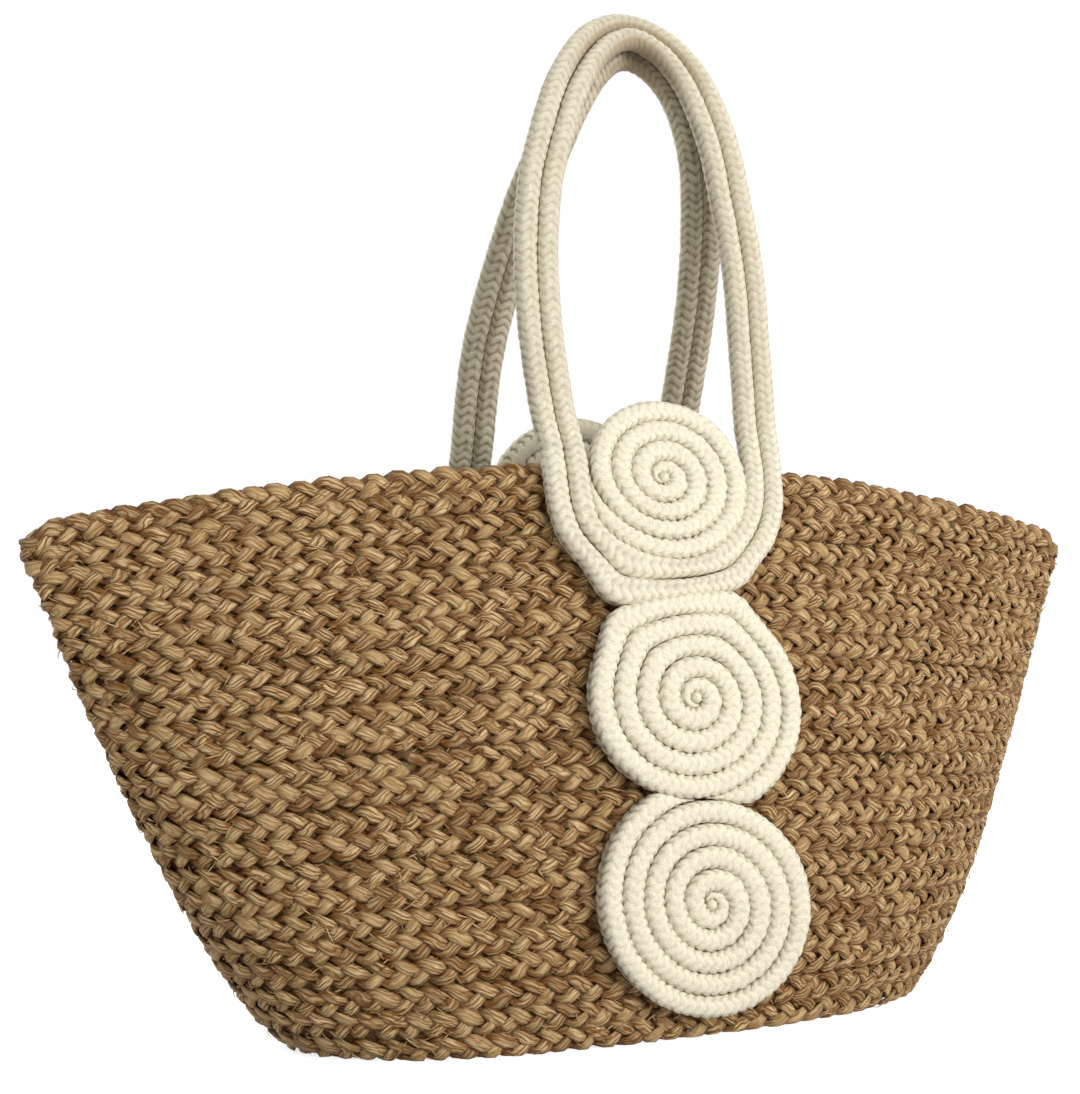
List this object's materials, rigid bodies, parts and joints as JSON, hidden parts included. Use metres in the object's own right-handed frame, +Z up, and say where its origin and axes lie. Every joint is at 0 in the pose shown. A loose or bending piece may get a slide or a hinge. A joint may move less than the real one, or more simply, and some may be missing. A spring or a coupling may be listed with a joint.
{
  "type": "straw handbag",
  "caption": "Open-topped bag of sewn straw plait with a wide pointed mouth, cotton rope coils down each face and a pair of looped rope handles that fold outwards",
  "frame": {"origin": "middle of the base, on the surface that the bag stands on", "axes": "+X along the length of the bag, to the right seen from in front; -Y out of the front face; +Z up"},
  "size_m": [0.53, 0.17, 0.4579],
  "materials": {
    "straw": "plaited dried straw, sewn row to row, dull with pale worn ridges",
    "cotton_rope": "braided natural cotton rope, matt",
    "lining_cloth": "plain woven cotton cloth, matt"
  },
  "bodies": {
    "bag": {"straw_wall": "straw", "straw_base": "straw", "lining": "lining_cloth", "lining_pocket": "lining_cloth", "front_top_coil": "cotton_rope", "front_middle_coil": "cotton_rope", "front_bottom_coil": "cotton_rope", "front_inner_sewn_cord": "cotton_rope", "front_outer_sewn_cord": "cotton_rope", "back_top_coil": "cotton_rope", "back_middle_coil": "cotton_rope", "back_bottom_coil": "cotton_rope", "back_inner_sewn_cord": "cotton_rope", "back_outer_sewn_cord": "cotton_rope"},
    "front_handle": {"front_inner_handle_cord": "cotton_rope", "front_outer_handle_cord": "cotton_rope"},
    "back_handle": {"back_inner_handle_cord": "cotton_rope", "back_outer_handle_cord": "cotton_rope"}
  },
  "joints": [
    {"name": "front_handle_fold", "type": "hinge", "parent": "bag", "child": "front_handle", "pos_m": [0.0088, -0.04428, 0.25206], "axis": [1, 0, 0], "range_deg": [0, 145]},
    {"name": "back_handle_fold", "type": "hinge", "parent": "bag", "child": "back_handle", "pos_m": [0.0018, 0.04339, 0.25205], "axis": [-1, 0, 0], "range_deg": [0, 145]}
  ]
}
